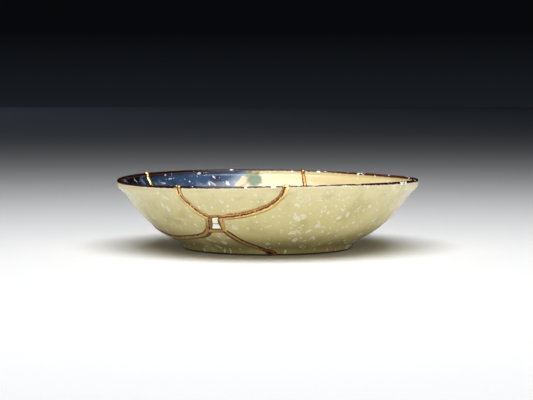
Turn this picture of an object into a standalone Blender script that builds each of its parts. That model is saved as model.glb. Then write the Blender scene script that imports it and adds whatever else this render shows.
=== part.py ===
"""A round glazed dish that was broken into four shards and joined again with raised gold seams.

The dish is drawn on a flat map first. A point of the map is an azimuth about the dish's axis and a distance from
the centre, measured along the wall up to the tip of the lip. The cracks are lines on that map. Each shard is the
area between them, and the map is then laid onto the outer and the inner face of the wall. All lengths are in
metres, +Z is up, and the foot stands on z = 0 with the axis through the origin.
"""
import math

import bpy
import numpy as np
from mathutils import Vector
from mathutils.geometry import delaunay_2d_cdt

# The dish
RIM_RADIUS = 0.0910
RIM_HEIGHT = 0.0422
BASE_WALL = 0.0038
LIP_WALL = 0.0024
FLAT_RADIUS = 0.0380          # the flat middle of the base
JOIN_RADIUS = 0.0560          # where the foot's outer side runs into the wall
JOIN_HEIGHT = 0.0055

# The foot ring
FOOT_RADIUS = 0.0515
FOOT_WIDTH = 0.0070
FOOT_SIDE = 0.0014            # the upright part of the foot's outer side
FOOT_HEADING = 86.0           # the direction in which it leaves the upright part, in degrees above level
FOOT_EDGE = 0.0005            # how far up its lower edge is worn round
FOOT_WORN = 0.0009            # how far in the worn edge starts
FOOT_WORN_TOP = 0.0003        # how far in it still is at its upper end
FOOT_RECESS = 0.0022          # the base's underside above the table
FOOT_DRAFT = 0.0009           # how far the ring's inner side leans

# The wall outside the foot, from where the foot joins it to the tip of the lip: the share of the way out, the
# share of the way up and the direction in degrees above level. It steepens, flares and ends in an upright lip.
WALL_SHAPE = (
    (0.000, 0.000, 28.0),
    (0.374, 0.232, 40.0),
    (0.711, 0.559, 53.0),
    (0.806, 0.695, 55.0),
    (0.906, 0.804, 48.0),
    (0.992, 0.908, 76.0),
    (1.000, 1.000, 90.0),
)

# The firing left the lip a little higher on two opposite sides
LIP_WARP = 0.0008
WARP_LOW_AZIMUTH = 31.0

# The joints and the gold on them
JOINT_GAP = 0.0003            # from the gold to each shard it holds
JOINT_WIDTH = 0.0009          # the lacquer between two shards
SEAM_WIDTH = 0.0048
SEAM_RISE = 0.00060           # the thickness of the gold bead over the glaze
SEAM_EDGE = 0.00025           # its thickness at the side of the bead
CHIP_RISE = 0.00035           # the thickness of the gold over the filled chip
CHIP_RIM = 0.0012             # the raised border round the chip

# Cracks, each point as azimuth in degrees and share of the way from the centre to the tip of the lip. The
# first point of each lies on the chip, and the last on the lip.
CHIP_FRONT_LEFT = (245.0, 0.790)
CHIP_FRONT_RIGHT = (250.7, 0.794)
CHIP_BACK_RIGHT = (249.9, 0.693)
CHIP_BACK_LEFT = (242.2, 0.689)
CRACK_FRONT_LEFT = (
    CHIP_FRONT_LEFT, (242.8, 0.809), (240.6, 0.840), (238.7, 0.873), (237.5, 0.910), (236.8, 0.948), (235.8, 1.000),
)
CRACK_FRONT_RIGHT = (
    CHIP_FRONT_RIGHT, (254.7, 0.799), (258.9, 0.808), (263.1, 0.822), (267.1, 0.843), (270.9, 0.870),
    (274.3, 0.921), (275.7, 0.960), (276.6, 1.000),
)
CRACK_LEFT = (
    CHIP_BACK_LEFT, (238.4, 0.646), (234.0, 0.626), (225.4, 0.603), (215.2, 0.588), (206.0, 0.586), (197.4, 0.600),
    (189.6, 0.626), (181.0, 0.662), (171.0, 0.712), (162.0, 0.766), (155.2, 0.822), (151.2, 0.878), (149.2, 0.932),
    (148.8, 1.000),
)
CRACK_BASE = (
    CHIP_BACK_RIGHT, (251.8, 0.650), (255.5, 0.593), (260.1, 0.546), (265.2, 0.503), (270.2, 0.479), (275.4, 0.463),
    (281.5, 0.432), (292.5, 0.356), (318.0, 0.264), (2.0, 0.214), (44.0, 0.268), (62.0, 0.380), (69.3, 0.500),
    (71.0, 0.620), (71.0, 0.740), (71.7, 0.830), (73.8, 0.915), (75.0, 1.000),
)

# How finely the faceted surfaces are divided
AZIMUTH_STEPS = 64
WALL_SPACING = 0.0066         # between the points of the mesh up the wall
BASE_RINGS = 4
LIP_RINGS = 3
CRACK_STEP = 0.0058
CRACK_SAMPLES = 12            # between two points of a crack, before it is divided evenly
GRID_SPACING = 0.0045         # the least distance between the points of one ring of a shard
FEWEST_STEPS = 8              # round the smallest rings
RING_SNAP = 0.00016           # a point this close to a ring of the mesh lies on it
TOUCH = 0.000001              # a point this close to the chip's floor belongs to it
MERGE = 0.0000001             # points this close to each other are one
STRAIGHT = 0.001              # the sine of the turn below which a corner counts as straight
CURVE_STEPS = 40
FILLET_STEPS = 3
DENSE_STEPS = 900
CHORD = 0.0002                # half the length over which the wall's direction is taken
FOOT_CHORD = 0.0004           # and the foot's
SHARP_ANGLE = 35.0            # in degrees, from which an edge is shaded sharp

CELADON = (0.52, 0.46, 0.29, 1.0)
CELADON_ROUGHNESS = 0.22
GOLD = (0.62, 0.36, 0.14, 1.0)
GOLD_ROUGHNESS = 0.3


def clear_scene():
    for item in list(bpy.data.objects):
        bpy.data.objects.remove(item)


def hermite(start, end, start_heading, end_heading, steps):
    """Points of a smooth arc between two points, leaving and arriving at the headings, without the last."""
    start, end = np.array(start), np.array(end)
    chord = np.linalg.norm(end - start)
    leave = chord * np.array((math.cos(start_heading), math.sin(start_heading)))
    arrive = chord * np.array((math.cos(end_heading), math.sin(end_heading)))
    t = np.linspace(0.0, 1.0, steps, endpoint=False)[:, None]
    return (
        (2 * t**3 - 3 * t**2 + 1) * start
        + (t**3 - 2 * t**2 + t) * leave
        + (3 * t**2 - 2 * t**3) * end
        + (t**3 - t**2) * arrive
    )


class Section:
    """The dish's cross-section: the outer and the inner face by the distance along the wall."""

    def __init__(self):
        self.trace_body()
        self.place_foot()
        self.lip_half = LIP_WALL / 2.0
        self.lip_start = self.body_length - self.lip_half
        self.length = self.lip_start + self.lip_half * math.pi / 2.0
        self.tabulate()

    def trace_body(self):
        """The outer face as it would be without the foot."""
        knots = [(0.0, FOOT_RECESS, 0.0), (FLAT_RADIUS, FOOT_RECESS, 0.0)]
        run = RIM_RADIUS - JOIN_RADIUS
        rise = RIM_HEIGHT - JOIN_HEIGHT
        for out, up, heading in WALL_SHAPE:
            knots.append((JOIN_RADIUS + out * run, JOIN_HEIGHT + up * rise, math.radians(heading)))
        pieces = []
        for (r0, z0, h0), (r1, z1, h1) in zip(knots, knots[1:]):
            pieces.append(hermite((r0, z0), (r1, z1), h0, h1, CURVE_STEPS))
        pieces.append(np.array([knots[-1][:2]]))
        self.body = np.vstack(pieces)
        lengths = np.linalg.norm(np.diff(self.body, axis=0), axis=1)
        self.body_s = np.concatenate(([0.0], np.cumsum(lengths)))
        self.body_length = self.body_s[-1]

    def along(self, radius):
        """The distance along the wall at which the body line reaches a radius."""
        return float(np.interp(radius, self.body[:, 0], self.body_s))

    def place_foot(self):
        """The foot ring's outline, from the recess inside it to where its outer side joins the wall."""
        inner_edge = FOOT_RADIUS - FOOT_WIDTH
        recess_edge = inner_edge - FOOT_DRAFT
        outline = [
            (recess_edge, float(np.interp(recess_edge, self.body[:, 0], self.body[:, 1]))),
            (inner_edge, 0.0),
            (FOOT_RADIUS - FOOT_WORN, 0.0),
            (FOOT_RADIUS - FOOT_WORN_TOP, FOOT_EDGE),
            (FOOT_RADIUS, FOOT_SIDE),
        ]
        fillet = hermite((FOOT_RADIUS, FOOT_SIDE), (JOIN_RADIUS, JOIN_HEIGHT), math.radians(FOOT_HEADING),
                         math.radians(WALL_SHAPE[0][2]), FILLET_STEPS)
        outline.extend((float(r), float(z)) for r, z in fillet[1:])
        outline.append((JOIN_RADIUS, JOIN_HEIGHT))
        self.foot = np.array(outline)
        self.foot_rings = [self.along(r) for r, z in outline]
        self.bare_from = self.foot_rings[0]
        self.bare_to = self.foot_rings[4]

    def rings(self):
        """Distances at which both faces change direction, so the mesh has an edge there."""
        lip = [self.lip_start + self.lip_half * math.pi / 2.0 * i / LIP_RINGS for i in range(LIP_RINGS)]
        return self.foot_rings + lip

    def grid_rings(self):
        """Further distances at which the mesh has points, on the base and on the wall."""
        base = [self.bare_from * i / BASE_RINGS for i in range(1, BASE_RINGS)]
        bends = [self.along(JOIN_RADIUS + out * (RIM_RADIUS - JOIN_RADIUS)) for out, up, heading in WALL_SHAPE[:-1]]
        wall = []
        for start, end in zip(bends, bends[1:]):
            parts = max(1, round((end - start) / WALL_SPACING))
            wall += [start + (end - start) * (i + 1) / parts for i in range(parts)]
        return base + wall

    def tabulate(self):
        s = np.linspace(0.0, self.length, DENSE_STEPS)
        s = np.unique(np.concatenate((s, self.foot_rings, [self.lip_start])))
        turn = np.clip((s - self.lip_start) / self.lip_half, 0.0, math.pi / 2.0)
        b = np.where(s > self.lip_start, self.lip_start + self.lip_half * np.sin(turn), s)
        line = self.outline_at(self.body_s, self.body, b)
        ahead = self.outline_at(self.body_s, self.body, b + CHORD)
        behind = self.outline_at(self.body_s, self.body, b - CHORD)
        tangent = (ahead - behind) / np.linalg.norm(ahead - behind, axis=1)[:, None]
        normal = np.stack((-tangent[:, 1], tangent[:, 0]), axis=1)
        wall = BASE_WALL + (LIP_WALL - BASE_WALL) * np.clip((b / self.lip_start), 0.0, 1.0) ** 2
        keep = np.cos(turn)[:, None]
        bend = np.sin(turn)[:, None]
        middle = line + normal * wall[:, None] / 2.0
        outer = middle - normal * wall[:, None] / 2.0 * keep
        inner = middle + normal * wall[:, None] / 2.0 * keep
        outer_normal = -normal * keep + tangent * bend
        inner_normal = normal * keep + tangent * bend
        in_foot = (s >= self.bare_from) & (s <= self.foot_rings[-1])
        outer[in_foot, 1] = np.interp(outer[in_foot, 0], self.foot[:, 0], self.foot[:, 1])
        lean = self.outline_at(s, outer, s[in_foot] + FOOT_CHORD) - self.outline_at(s, outer, s[in_foot] - FOOT_CHORD)
        lean /= np.linalg.norm(lean, axis=1)[:, None]
        outer_normal[in_foot] = np.stack((lean[:, 1], -lean[:, 0]), axis=1)
        self.s = s
        self.faces = {-1: (outer, outer_normal), 1: (inner, inner_normal)}

    @staticmethod
    def outline_at(s, outline, where):
        """The points of an outline at distances along the wall."""
        return np.stack((np.interp(where, s, outline[:, 0]), np.interp(where, s, outline[:, 1])), axis=1)

    def all_at_lip(self, points):
        """Whether points of the map all lie on the tip of the lip."""
        return all(abs(np.linalg.norm(point) - self.length) < RING_SNAP for point in points)

    def point(self, x, y, side, lift):
        """Where a point of the map lies in space, lifted off the outer (-1) or the inner (1) face."""
        s = math.hypot(x, y)
        for ring in self.rings() + [self.length]:
            if abs(s - ring) < RING_SNAP:
                s = ring
        azimuth = math.atan2(y, x)
        line, normal = self.faces[side]
        r = float(np.interp(s, self.s, line[:, 0]) + lift * np.interp(s, self.s, normal[:, 0]))
        z = float(np.interp(s, self.s, line[:, 1]) + lift * np.interp(s, self.s, normal[:, 1]))
        share = max(0.0, (r - JOIN_RADIUS) / (RIM_RADIUS - JOIN_RADIUS))
        z -= LIP_WARP * share**2 * math.cos(2.0 * (azimuth - math.radians(WARP_LOW_AZIMUTH)))
        return Vector((r * math.cos(azimuth), r * math.sin(azimuth), z))


def on_map(section, point):
    azimuth, share = math.radians(point[0]), point[1] * section.length
    return np.array((share * math.cos(azimuth), share * math.sin(azimuth)))


def crack_line(section, points):
    """A smooth crack through its points, divided evenly."""
    knots = [on_map(section, p) for p in points]
    ends = [2 * knots[0] - knots[1]] + knots + [2 * knots[-1] - knots[-2]]
    fine = []
    for i in range(len(knots) - 1):
        before, start, end, after = ends[i:i + 4]
        for t in np.linspace(0.0, 1.0, CRACK_SAMPLES, endpoint=False):
            fine.append(0.5 * (
                2 * start + (end - before) * t + (2 * before - 5 * start + 4 * end - after) * t**2
                + (3 * start - before - 3 * end + after) * t**3
            ))
    fine.append(knots[-1])
    fine = np.array(fine)
    lengths = np.concatenate(([0.0], np.cumsum(np.linalg.norm(np.diff(fine, axis=0), axis=1))))
    count = max(2, int(round(lengths[-1] / CRACK_STEP)))
    where = np.linspace(0.0, lengths[-1], count + 1)
    return np.stack((np.interp(where, lengths, fine[:, 0]), np.interp(where, lengths, fine[:, 1])), axis=1)


def rim_arc(section, start, end):
    """Points of the lip's tip from one azimuth to the next, in degrees and anticlockwise, without the ends."""
    while end <= start:
        end += 360.0
    step = 360.0 / AZIMUTH_STEPS
    first = int(math.floor(start / step)) + 1
    azimuths = []
    while first * step < end:
        if first * step - start > step / 3.0 and end - first * step > step / 3.0:
            azimuths.append(first * step)
        first += 1
    return [on_map(section, (azimuth, 1.0)) for azimuth in azimuths]


class Outline:
    """A closed outline on the map, anticlockwise, that remembers which of its edges are cracks."""

    def __init__(self, points, cracked):
        self.points = np.array(points)
        self.cracked = cracked

    def inset(self, distance):
        """The outline with its cracked edges moved inwards."""
        count = len(self.points)
        moved = []
        for i in range(count):
            before = self.points[i] - self.points[i - 1]
            after = self.points[(i + 1) % count] - self.points[i]
            n0 = np.array((-before[1], before[0])) / np.linalg.norm(before)
            n1 = np.array((-after[1], after[0])) / np.linalg.norm(after)
            c0 = distance if self.cracked[i - 1] else 0.0
            c1 = distance if self.cracked[i] else 0.0
            if abs(n0[0] * n1[1] - n0[1] * n1[0]) < STRAIGHT:
                shift = n0 * max(c0, c1)
            else:
                shift = np.linalg.solve(np.array((n0, n1)), np.array((c0, c1)))
            moved.append(self.points[i] + shift)
        return np.array(moved)


def shard_outlines(section):
    """The four shards on the map, and the chip between them, up to the middle of each crack."""
    front_left = crack_line(section, CRACK_FRONT_LEFT)
    front_right = crack_line(section, CRACK_FRONT_RIGHT)
    left = crack_line(section, CRACK_LEFT)
    base = crack_line(section, CRACK_BASE)
    ends = {"front_left": CRACK_FRONT_LEFT, "front_right": CRACK_FRONT_RIGHT, "left": CRACK_LEFT, "base": CRACK_BASE}
    lines = {"front_left": front_left, "front_right": front_right, "left": left, "base": base}
    around = {
        "shard_front": ("front_left", "front_right"),
        "shard_right": ("front_right", "base"),
        "shard_back_base": ("base", "left"),
        "shard_left": ("left", "front_left"),
    }
    outlines = {}
    for name, (opens, closes) in around.items():
        rim = rim_arc(section, ends[opens][-1][0], ends[closes][-1][0])
        points = [lines[opens][-1]] + rim + list(lines[closes][::-1]) + list(lines[opens][:-1])
        cracked = [False] * (len(rim) + 1) + [True] * (len(points) - len(rim) - 1)
        outlines[name] = Outline(points, cracked)
    chip = [lines[name][0] for name in ("front_left", "left", "base", "front_right")]
    return outlines, Outline(chip, [True] * 4)


def inside(outline, point):
    """Whether a point of the map lies in a closed outline."""
    x, y = outline[:, 0], outline[:, 1]
    x1, y1 = np.roll(x, -1), np.roll(y, -1)
    crosses = (y > point[1]) != (y1 > point[1])
    with np.errstate(divide="ignore", invalid="ignore"):
        where = x + (point[1] - y) * (x1 - x) / (y1 - y)
    return int(np.count_nonzero(crosses & (where > point[0]))) % 2 == 1


def distance_to(outlines, point):
    """The distance from a point of the map to the nearest edge of closed outlines."""
    best = math.inf
    for outline in outlines:
        start = outline
        run = np.roll(outline, -1, axis=0) - start
        t = np.clip(np.sum((point - start) * run, axis=1) / np.sum(run * run, axis=1), 0.0, 1.0)
        gaps = np.linalg.norm(start + run * t[:, None] - point, axis=1)
        best = min(best, float(gaps.min()))
    return best


def divide(section, loops, spare_points):
    """Triangles of the map that keep the edges of the closed loops and of the rings."""
    points, edges = [], []

    def add_loop(loop):
        first = len(points)
        points.extend(tuple(p) for p in loop)
        edges.extend((first + i, first + (i + 1) % len(loop)) for i in range(len(loop)))

    for loop in loops:
        add_loop(loop)
    for ring in section.rings():
        share = ring / section.length
        add_loop([on_map(section, (360.0 * i / AZIMUTH_STEPS, share)) for i in range(AZIMUTH_STEPS)])
    points.extend(tuple(p) for p in spare_points)
    result = delaunay_2d_cdt([Vector(p) for p in points], edges, [], 0, MERGE, False)
    return [np.array(v) for v in result[0]], [tuple(face) for face in result[2]]


def layered_mesh(name, section, points, cells, levels):
    """A closed mesh over cells of the map.

    Each level is a function of a map point that gives the face and the lift, and each cell is a triangle with
    the slabs between neighbouring levels that it fills. At the lip the outer and the inner levels meet.
    """
    count = len(levels)
    keys, verts, faces = {}, [], []

    def at_lip(index):
        return section.all_at_lip([points[index]])

    def vertex(index, level):
        if at_lip(index):
            level = min(level, count - 1 - level)
        key = (index, level)
        if key not in keys:
            keys[key] = len(verts)
            verts.append(section.point(*points[index], *levels[level](points[index])))
        return keys[key]

    filled = {}
    for triangle, slabs in cells:
        for a, b in zip(triangle, triangle[1:] + triangle[:1]):
            filled[(a, b)] = slabs
    for triangle, slabs in cells:
        for slab in slabs:
            if slab - 1 not in slabs:
                faces.append([vertex(i, slab) for i in reversed(triangle)])
            if slab + 1 not in slabs:
                faces.append([vertex(i, slab + 1) for i in triangle])
        for a, b in zip(triangle, triangle[1:] + triangle[:1]):
            if at_lip(a) and at_lip(b):
                continue
            for slab in set(slabs) - set(filled.get((b, a), ())):
                wall = [vertex(a, slab), vertex(b, slab), vertex(b, slab + 1), vertex(a, slab + 1)]
                corners = [v for i, v in enumerate(wall) if v != wall[i - 1]]
                if len(corners) == 4:
                    faces.append([corners[0], corners[1], corners[2]])
                    faces.append([corners[0], corners[2], corners[3]])
                else:
                    faces.append(corners)
    mesh = bpy.data.meshes.new(name)
    mesh.from_pydata(verts, [], faces)
    mesh.validate()
    return mesh


def make_material(name, colour, roughness, metallic):
    material = bpy.data.materials.new(name)
    material.use_nodes = True
    shader = material.node_tree.nodes["Principled BSDF"]
    shader.inputs["Base Color"].default_value = colour
    shader.inputs["Roughness"].default_value = roughness
    shader.inputs["Metallic"].default_value = metallic
    return material


def add_object(name, mesh, material):
    mesh.materials.append(material)
    mesh.shade_smooth()
    mesh.set_sharp_from_angle(angle=math.radians(SHARP_ANGLE))
    item = bpy.data.objects.new(name, mesh)
    bpy.context.scene.collection.objects.link(item)
    return item


def grid_points(section, outline):
    """Points of the map inside a shard, evenly spread and clear of its edges."""
    points = []
    for ring in section.grid_rings():
        steps = AZIMUTH_STEPS
        while steps > FEWEST_STEPS and 2.0 * math.pi * ring / steps < GRID_SPACING:
            steps //= 2
        for i in range(steps):
            point = on_map(section, (360.0 * i / steps, ring / section.length))
            if inside(outline, point) and distance_to([outline], point) > CRACK_STEP / 2.0:
                points.append(point)
    if inside(outline, np.zeros(2)):
        points.append(np.zeros(2))
    return points


def build_shard(section, name, outline):
    edge = outline.inset(JOINT_WIDTH / 2.0 + JOINT_GAP)
    points, triangles = divide(section, [edge], grid_points(section, edge))
    cells = []
    for triangle in triangles:
        middle = sum(points[i] for i in triangle) / 3.0
        if inside(edge, middle):
            cells.append((triangle, (0,)))
    levels = (lambda p: (-1, 0.0), lambda p: (1, 0.0))
    mesh = layered_mesh(name, section, points, cells, levels)
    return add_object(name, mesh, make_material("glaze_" + name, CELADON, CELADON_ROUGHNESS, 0.0))


def build_seam(section, outlines, chip):
    """The lacquer between the shards, with a wider bead on both faces that runs on over the lip.

    Under the foot ring there is no bead, so the dish stands on its shards.
    """
    wide = [outline.inset(SEAM_WIDTH / 2.0) for outline in outlines.values()]
    narrow = [outline.inset(JOINT_WIDTH / 2.0) for outline in outlines.values()]
    floor = chip.inset(CHIP_RIM)
    points, triangles = divide(section, wide + narrow + [floor], [])
    slope = (SEAM_WIDTH - JOINT_WIDTH) / 2.0

    def bead(point):
        if inside(floor, point) or distance_to([floor], point) < TOUCH:
            return JOINT_GAP + CHIP_RISE
        share = min(1.0, distance_to(wide, point) / slope)
        return JOINT_GAP + SEAM_EDGE + (SEAM_RISE - SEAM_EDGE) * share

    levels = (
        lambda p: (-1, bead(p)),
        lambda p: (-1, JOINT_GAP),
        lambda p: (-1, 0.0),
        lambda p: (1, 0.0),
        lambda p: (1, JOINT_GAP),
        lambda p: (1, bead(p)),
    )
    cells = []
    for triangle in triangles:
        middle = sum(points[i] for i in triangle) / 3.0
        if section.all_at_lip([points[i] for i in triangle]) or any(inside(edge, middle) for edge in wide):
            continue
        web = not any(inside(edge, middle) for edge in narrow)
        bare = section.bare_from < np.linalg.norm(middle) < section.bare_to
        if web and bare:
            slabs = (2, 3, 4)
        elif web:
            slabs = (0, 1, 2, 3, 4)
        elif bare:
            slabs = (4,)
        else:
            slabs = (0, 4)
        cells.append((triangle, slabs))
    mesh = layered_mesh("gold_seam", section, points, cells, levels)
    return add_object("gold_seam", mesh, make_material("gold_on_lacquer", GOLD, GOLD_ROUGHNESS, 1.0))


def main():
    clear_scene()
    section = Section()
    outlines, chip = shard_outlines(section)
    for name, outline in outlines.items():
        build_shard(section, name, outline)
    build_seam(section, outlines, chip)


main()
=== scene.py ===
import math

import bpy
import numpy as np
from bpy.props import FloatProperty, FloatVectorProperty, PointerProperty
from mathutils import Color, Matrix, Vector
from mathutils.geometry import delaunay_2d_cdt


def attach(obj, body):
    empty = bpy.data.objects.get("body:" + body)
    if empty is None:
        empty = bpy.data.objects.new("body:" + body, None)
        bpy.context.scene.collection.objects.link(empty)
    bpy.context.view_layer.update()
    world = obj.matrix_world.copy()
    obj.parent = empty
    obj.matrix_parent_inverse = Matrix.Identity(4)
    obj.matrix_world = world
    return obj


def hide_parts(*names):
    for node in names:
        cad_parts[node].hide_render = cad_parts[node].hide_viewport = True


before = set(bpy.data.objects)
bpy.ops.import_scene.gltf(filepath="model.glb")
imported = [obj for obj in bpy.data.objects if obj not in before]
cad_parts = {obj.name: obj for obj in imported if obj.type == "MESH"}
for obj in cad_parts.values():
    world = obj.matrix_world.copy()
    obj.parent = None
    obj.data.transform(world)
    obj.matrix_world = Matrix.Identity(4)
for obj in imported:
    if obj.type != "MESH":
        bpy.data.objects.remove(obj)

bl_info = {
    "name": "Kintsugi Dish",
    "version": (1, 0, 0),
    "blender": (4, 5, 0),
    "location": "3D View > Sidebar > Kintsugi Dish",
    "description": "Dresses a glazed dish rejoined with gold, and sets its floor, lights and camera",
    "category": "Add Mesh",
}

# The wall outside the foot, from where the foot joins it to the tip of the lip: the share of the way out, the
# share of the way up and the direction in degrees above level
WALL_SHAPE = (
    (0.000, 0.000, 28.0),
    (0.374, 0.232, 40.0),
    (0.711, 0.559, 53.0),
    (0.806, 0.695, 55.0),
    (0.906, 0.804, 48.0),
    (0.992, 0.908, 76.0),
    (1.000, 1.000, 90.0),
)
WARP_LOW_AZIMUTH = math.radians(31.0)

# Cracks, each point as azimuth in degrees and share of the way from the centre to the tip of the lip. The
# first point of each lies on the chip, and the last on the lip.
CHIP_FRONT_LEFT = (245.0, 0.790)
CHIP_FRONT_RIGHT = (250.7, 0.794)
CHIP_BACK_RIGHT = (249.9, 0.693)
CHIP_BACK_LEFT = (242.2, 0.689)
CRACKS = {
    "front_left": (
        CHIP_FRONT_LEFT, (242.8, 0.809), (240.6, 0.840), (238.7, 0.873), (237.5, 0.910), (236.8, 0.948),
        (235.8, 1.000),
    ),
    "front_right": (
        CHIP_FRONT_RIGHT, (254.7, 0.799), (258.9, 0.808), (263.1, 0.822), (267.1, 0.843), (270.9, 0.870),
        (274.3, 0.921), (275.7, 0.960), (276.6, 1.000),
    ),
    "left": (
        CHIP_BACK_LEFT, (238.4, 0.646), (234.0, 0.626), (225.4, 0.603), (215.2, 0.588), (206.0, 0.586),
        (197.4, 0.600), (189.6, 0.626), (181.0, 0.662), (171.0, 0.712), (162.0, 0.766), (155.2, 0.822),
        (151.2, 0.878), (149.2, 0.932), (148.8, 1.000),
    ),
    "base": (
        CHIP_BACK_RIGHT, (251.8, 0.650), (255.5, 0.593), (260.1, 0.546), (265.2, 0.503), (270.2, 0.479),
        (275.4, 0.463), (281.5, 0.432), (292.5, 0.356), (318.0, 0.264), (2.0, 0.214), (44.0, 0.268),
        (62.0, 0.380), (69.3, 0.500), (71.0, 0.620), (71.0, 0.740), (71.7, 0.830), (73.8, 0.915),
        (75.0, 1.000),
    ),
}
# Each shard lies between two cracks, anticlockwise
SHARDS = {
    "shard_front": ("front_left", "front_right"),
    "shard_right": ("front_right", "base"),
    "shard_back_base": ("base", "left"),
    "shard_left": ("left", "front_left"),
}
OUTER, INNER = -1, 1
FOOT_HEADING = math.radians(86.0)
# Where a shard's materials are in its list
OUTER_MATERIAL, INNER_MATERIAL, WALL_MATERIAL = 0, 1, 2
SHARP_ANGLE = math.radians(50.0)
MM_PER_M = 1000.0

# Distances between the points of the cracks, and of the rings on which the shards' meshes have points. Two
# rings of the foot that are further apart than FOOT_GAP have one more between them.
SHARD_CRACK_SPACING = 0.001
SEAM_CRACK_SPACING = 0.0006
BASE_STATIONS = 20
BASE_SPACING = 0.0021
FOOT_SPACING = 0.0013
FOOT_GAP = 0.001
FOOT_GAP_SPACING = 0.0016
LIP_STATIONS = 8
LIP_SPACING = 0.0009
# How near the tip a point counts as being on it
TIP_MARGIN = 0.00003
# How far the points inside a shard keep from its broken edges
EDGE_MARGIN = 0.0005
# Room between the lacquer and each shard
JOINT_CLEARANCE = 0.00008

# The face of the filled chip, whose near-white colour is a painted bright reflection: each corner as azimuth
# in degrees and share of the way to the lip, and how far out its waist is
PATCH = (
    (247.2, 0.797), (246.5, 0.783), (246.0, 0.749), (244.4, 0.708), (249.4, 0.710), (248.9, 0.752),
    (249.2, 0.779), (250.0, 0.802),
)
PATCH_WAIST = 0.748

# How wide the bead is at each line's start, as a share of its full width
BEAD_STARTS = {
    "front_left": 1.0, "front_right": 0.65, "left": 1.0, "base": 0.75,
    "chip_left": 0.9, "chip_back": 1.0, "chip_right": 0.48, "chip_front": 0.8,
}
# The gold bead along each line, outside the dish and inside it: where its groove runs at the line's start and
# at its end as a share of the half width, how deep the groove is, how much lacquer shows along its upper and
# its lower edge, and how bright the gold is over and under the groove, a painted reflection of the
# surroundings
BEADS = {
    "front_left": ((0.36, 0.26, 0.90, 0.45, 0.15, 0.55, 0.95), (0.0, 0.0, 0.3, 0.3, 0.3, 0.7, 0.7)),
    "front_right": ((0.12, 0.36, 1.00, 0.50, 0.20, 0.22, 0.85), (0.0, 0.0, 0.3, 0.3, 0.3, 0.7, 0.7)),
    "left": ((-0.1, -0.1, 0.15, 0.95, 0.70, 0.75, 0.65), (0.0, 0.0, 0.1, 0.1, 0.9, 0.9, 0.9)),
    "base": ((0.1, 0.1, 0.20, 0.95, 0.85, 0.75, 0.70), (0.0, 0.0, 0.1, 0.0, 0.0, 0.1, 0.1)),
    "chip_left": ((0.25, 0.35, 1.00, 0.70, 0.05, 0.90, 0.45), (0.2, 0.2, 0.5, 0.1, 0.0, 0.6, 0.6)),
    "chip_back": ((0.0, 0.0, 0.00, 0.95, 0.10, 1.00, 1.00), (0.0, 0.0, 0.0, 0.3, 0.0, 0.6, 0.6)),
    "chip_right": ((0.1, 0.1, 0.20, 0.80, 0.20, 0.70, 0.75), (0.2, 0.2, 0.5, 0.2, 0.0, 0.6, 0.6)),
    "chip_front": ((0.0, 0.0, 0.60, 0.50, 0.60, 0.20, 0.30), (0.0, 0.0, 0.0, 0.2, 0.0, 0.6, 0.6)),
}
# How wide the bead is inside the dish, as a share of its width outside
INSIDE_WIDTH = 0.78
INSIDE_BASE_WIDTH = 0.60
# The lines whose upper side is to the left of their way from the chip to the lip. For the others it is to
# the right.
LEFT_IS_UPPER = ("front_left", "left")
# Lumps in the bead's width and in its height: by what share they change it, how far apart they are, and the
# turn that makes them differ from the others
WIDTH_LUMPS = ((0.10, 0.0075, 1.1), (0.05, 0.003, 0.2))
HEIGHT_LUMPS = ((0.12, 0.009, 2.0), (0.10, 0.0031, 0.7))
# The same for the filled chip, but as a height
CHIP_LUMPS = (0.00005, 0.0024, 1.7)
# The bead's crown is this power of a parabola, which makes it fuller towards its edges
CROWN_POWER = 0.6
# How deep the bead's edge lies in the glaze, as a share of the depth of its underside
EDGE_SINK = 0.95
# Half width of the groove and width of the step in the painted reflection at it, as shares of the bead's half
# width
GROOVE_WIDTH = 0.17
REFLECTION_STEP = 0.3
# Outside, from this far above the foot and over this length, the bead gets narrower and its gold darker
FOOT_CHANGE_START = 0.002
FOOT_CHANGE_LENGTH = 0.005
FOOT_NARROWING = 0.5
FOOT_DARKENING = 0.85
# How far the seam's mesh reaches from each line, as a share of the bead's half width
SEAM_REACH = 1.2
# How far the points of that mesh keep from its edges, as a share of its spacing
SEAM_MARGIN = 0.35
# Under the bare ring of the foot there is no bead. It fades out over INNER_FADE, which starts INNER_START
# before the ring, and comes back over OUTER_FADE, which ends OUTER_END past it.
INNER_START = 0.0016
INNER_FADE = 0.001
OUTER_END = 0.0001
OUTER_FADE = 0.0004
# Under the ring the lacquer lies this deep in the joint, and reaches this far, as a share of half its width
BARE_SINK = 0.00002
BARE_REACH = 1.2

# Directions of the waves that make a surface uneven
WAVE_HEADINGS = (0.3, 1.4, 2.2, 2.9, 3.7, 5.3)


def linear(code):
    """The linear colour of an sRGB hex code."""
    shares = [int(code[i:i + 2], 16) / 255.0 for i in (0, 2, 4)]
    return tuple(c / 12.92 if c <= 0.04045 else ((c + 0.055) / 1.055) ** 2.4 for c in shares)


def length_property(name, description, default):
    return FloatProperty(name=name, description=description, default=default, min=0.0, unit="LENGTH",
                         precision=5)


def colour_property(name, description, code):
    return FloatVectorProperty(name=name, description=description, default=linear(code), min=0.0, max=1.0,
                               subtype="COLOR", size=3)


def power_property(name, description, default):
    return FloatProperty(name=name, description=description, default=default, min=0.0, unit="POWER")


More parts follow.
